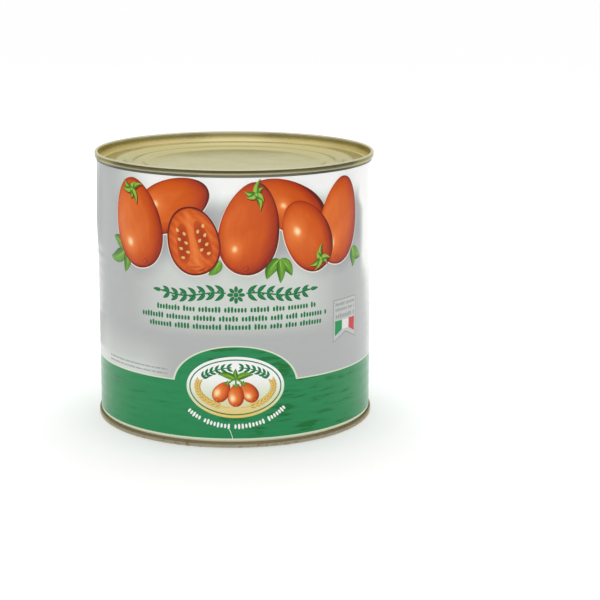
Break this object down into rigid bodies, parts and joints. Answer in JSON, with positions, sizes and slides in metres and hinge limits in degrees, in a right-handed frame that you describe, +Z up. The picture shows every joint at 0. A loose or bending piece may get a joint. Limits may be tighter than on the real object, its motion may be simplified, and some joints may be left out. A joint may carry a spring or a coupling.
{
  "type": "tin of tomatoes",
  "caption": "Large round food tin with double-seamed ends, expansion rings, a beaded wall and a glossy printed paper label showing plum tomatoes.",
  "frame": {"origin": "centre of the circle on which the lower seam stands", "axes": "+Z up along the tin's axis, -Y towards the front of the label"},
  "size_m": [0.1572, 0.1572, 0.1515],
  "materials": {
    "tinplate": "plain electrolytic tinplate, satin",
    "lacquered_end": "gold stoving lacquer over tinplate, semi-gloss",
    "label_paper": "coated paper, printed and gloss varnished"
  },
  "bodies": {
    "root": {"can_body": "tinplate", "top_end": "lacquered_end", "bottom_end": "lacquered_end", "label": "label_paper"}
  },
  "joints": []
}
